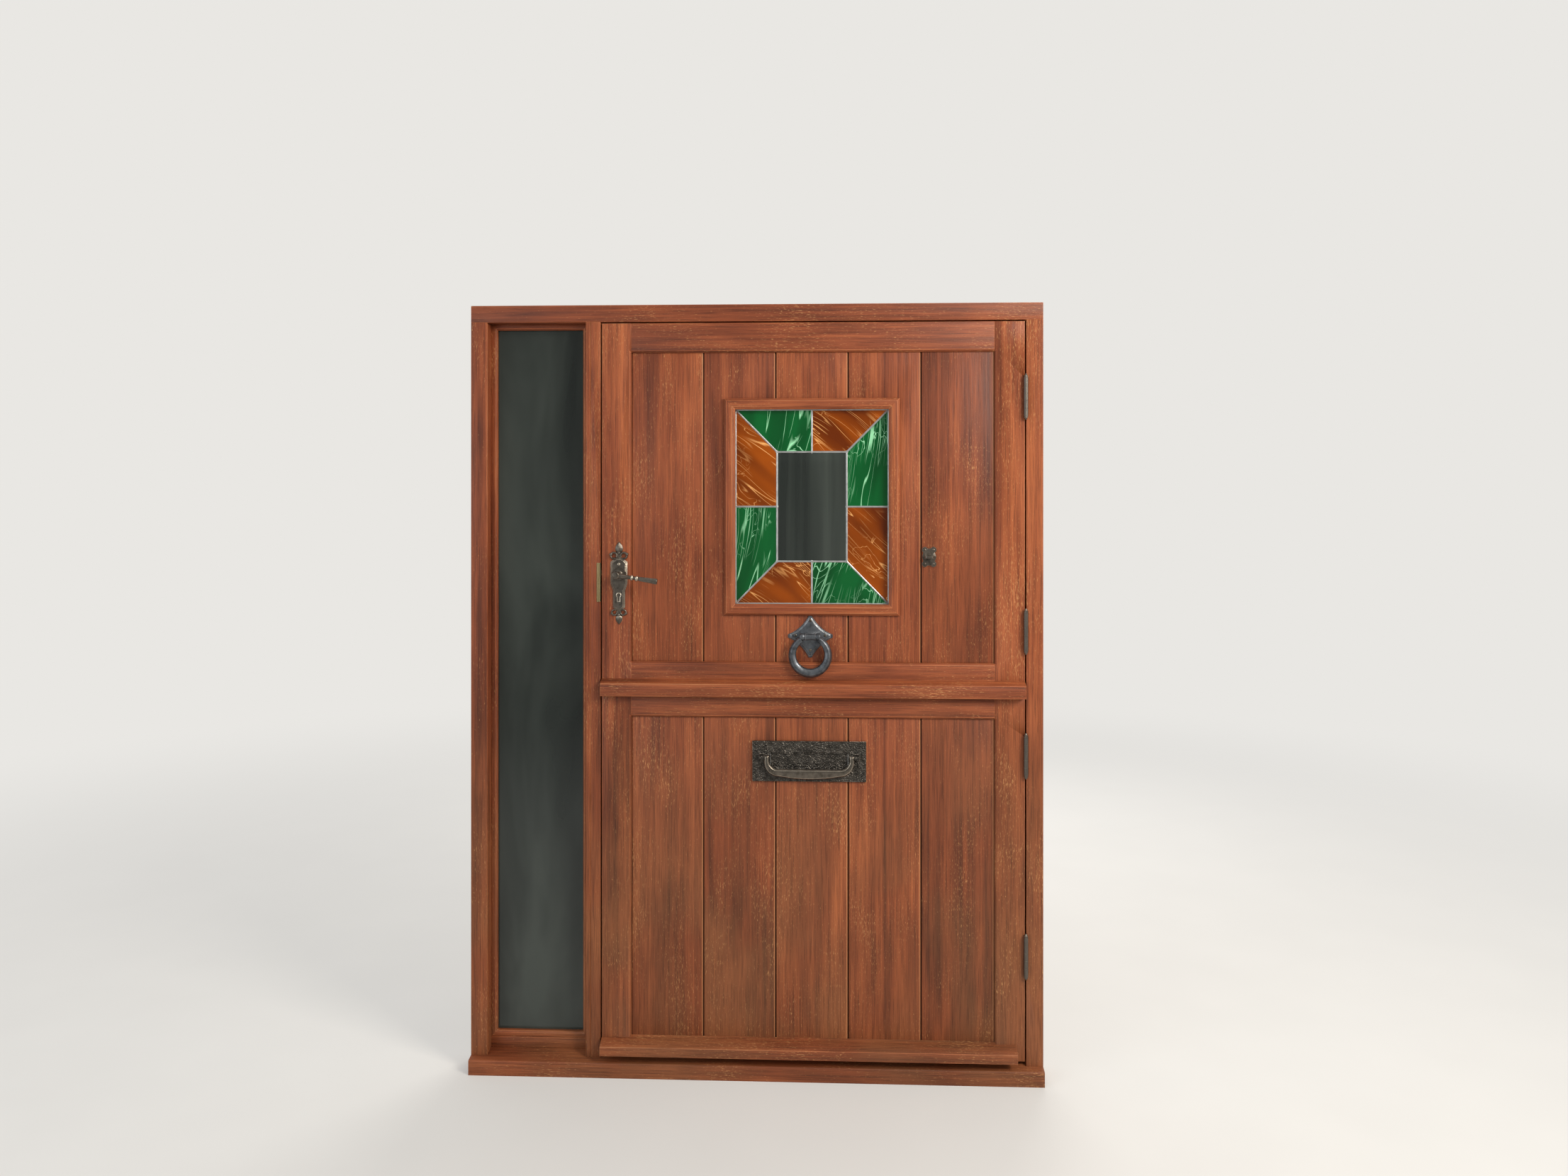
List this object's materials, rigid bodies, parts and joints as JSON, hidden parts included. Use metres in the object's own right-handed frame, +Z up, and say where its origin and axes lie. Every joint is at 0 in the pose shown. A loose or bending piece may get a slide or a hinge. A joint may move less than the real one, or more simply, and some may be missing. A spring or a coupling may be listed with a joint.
{
  "type": "dutch stable door with frame",
  "caption": "Two-leaf stable door of stained hardwood boards in a frame with a glazed sidelight, a leaded window, lever handle, ring knocker and letter plate.",
  "frame": {"origin": "on the sill's underside, at the middle of the frame's width and in the plane of the frame's outer face", "axes": "+X to the right as seen from outside, +Y into the building, +Z up"},
  "size_m": [1.549, 0.164, 2.0875],
  "materials": {
    "oiled_hardwood": "stained, worn satin",
    "brass": "bright",
    "hinge_steel": "dull",
    "lock_steel": "satin",
    "spacer_aluminium": "satin",
    "clear_glass": "clear",
    "centre_glass": "clear",
    "green_glass": "streaked",
    "amber_glass": "streaked",
    "lead": "dull lead",
    "black_iron": "black, worn",
    "grey_iron": "pewter grey",
    "hammered_iron": "hammered black"
  },
  "bodies": {
    "frame": {"frame_sill": "oiled_hardwood", "frame_head": "oiled_hardwood", "frame_jamb_left": "oiled_hardwood", "frame_jamb_right": "oiled_hardwood", "frame_mullion": "oiled_hardwood", "strike_plate": "brass", "sidelight_bottom_rail": "oiled_hardwood", "sidelight_beads": "oiled_hardwood", "sidelight_panes": "clear_glass", "sidelight_spacer": "spacer_aluminium", "hinge_frame_leaves": "hinge_steel", "hinge_pins": "hinge_steel"},
    "upper_leaf": {"upper_hinge_leaves": "hinge_steel", "upper_lock_stile": "oiled_hardwood", "upper_hinge_stile": "oiled_hardwood", "upper_top_rail": "oiled_hardwood", "upper_bottom_rail": "oiled_hardwood", "drip_bar": "oiled_hardwood", "window_moulding": "oiled_hardwood", "window_lining": "oiled_hardwood", "window_inner_bead": "oiled_hardwood", "glass_centre": "centre_glass", "glass_green": "green_glass", "glass_amber": "amber_glass", "lead_cames": "lead", "lock_case": "lock_steel", "lever_plates": "black_iron", "knocker_plate": "grey_iron", "hook_eye": "black_iron", "coupling_guide": "black_iron", "upper_board_1": "oiled_hardwood", "upper_board_2": "oiled_hardwood", "upper_board_3": "oiled_hardwood", "upper_board_4": "oiled_hardwood", "upper_board_5": "oiled_hardwood"},
    "lever_handle": {"levers": "black_iron", "spindle": "lock_steel"},
    "latch": {"latch_bolt": "lock_steel"},
    "dead_bolt": {"dead_bolt": "lock_steel"},
    "knocker": {"knocker_ring": "grey_iron"},
    "coupling": {"coupling_bolt": "black_iron"},
    "lower_leaf": {"lower_hinge_leaves": "hinge_steel", "lower_lock_stile": "oiled_hardwood", "lower_hinge_stile": "oiled_hardwood", "lower_top_rail": "oiled_hardwood", "lower_ledge": "oiled_hardwood", "weatherboard": "oiled_hardwood", "letter_plate": "hammered_iron", "coupling_keep": "black_iron", "lower_bolt_guide": "black_iron", "lower_board_1": "oiled_hardwood", "lower_board_2": "oiled_hardwood", "lower_board_3": "oiled_hardwood", "lower_board_4": "oiled_hardwood", "lower_board_5": "oiled_hardwood"},
    "flap": {"letter_flap": "hammered_iron"},
    "bow": {"letter_bow": "hammered_iron"},
    "bolt": {"lower_bolt": "black_iron"}
  },
  "joints": [
    {"name": "upper_leaf_hinge", "type": "hinge", "parent": "frame", "child": "upper_leaf", "pos_m": [0.7275, -0.007, 1.20743], "axis": [0, 0, 1], "range_deg": [0, 105]},
    {"name": "lower_leaf_hinge", "type": "hinge", "parent": "frame", "child": "lower_leaf", "pos_m": [0.7275, -0.007, 0.33943], "axis": [0, 0, 1], "range_deg": [0, 105]},
    {"name": "lever_turn", "type": "hinge", "parent": "upper_leaf", "child": "lever_handle", "pos_m": [-0.3675, 0.027, 1.35703], "axis": [0, 1, 0], "range_deg": [0, 38], "stiffness_Nm_per_rad": 0.6},
    {"name": "latch_slide", "type": "slide", "parent": "upper_leaf", "child": "latch", "axis": [1, 0, 0], "range_m": [0, 0.011]},
    {"name": "dead_bolt_slide", "type": "slide", "parent": "upper_leaf", "child": "dead_bolt", "axis": [-1, 0, 0], "range_m": [0, 0.018]},
    {"name": "knocker_swing", "type": "hinge", "parent": "upper_leaf", "child": "knocker", "pos_m": [0.1515, -0.013, 1.19103], "axis": [-1, 0, 0], "range_deg": [0, 95]},
    {"name": "coupling_bolt_slide", "type": "slide", "parent": "upper_leaf", "child": "coupling", "axis": [0, 0, -1], "range_m": [0, 0.034]},
    {"name": "flap_swing", "type": "hinge", "parent": "lower_leaf", "child": "flap", "pos_m": [0.1485, 0.00655, 0.87453], "axis": [1, 0, 0], "range_deg": [0, 75], "stiffness_Nm_per_rad": 0.05},
    {"name": "bow_swing", "type": "hinge", "parent": "lower_leaf", "child": "bow", "pos_m": [0.1485, -0.0055, 0.86463], "axis": [-1, 0, 0], "range_deg": [0, 90]},
    {"name": "lower_bolt_slide", "type": "slide", "parent": "lower_leaf", "child": "bolt", "axis": [-1, 0, 0], "range_m": [0, 0.024]}
  ],
  "couplings": [
    {"joint": "latch_slide", "follows": "lever_turn", "m_per_rad": 0.016555}
  ]
}
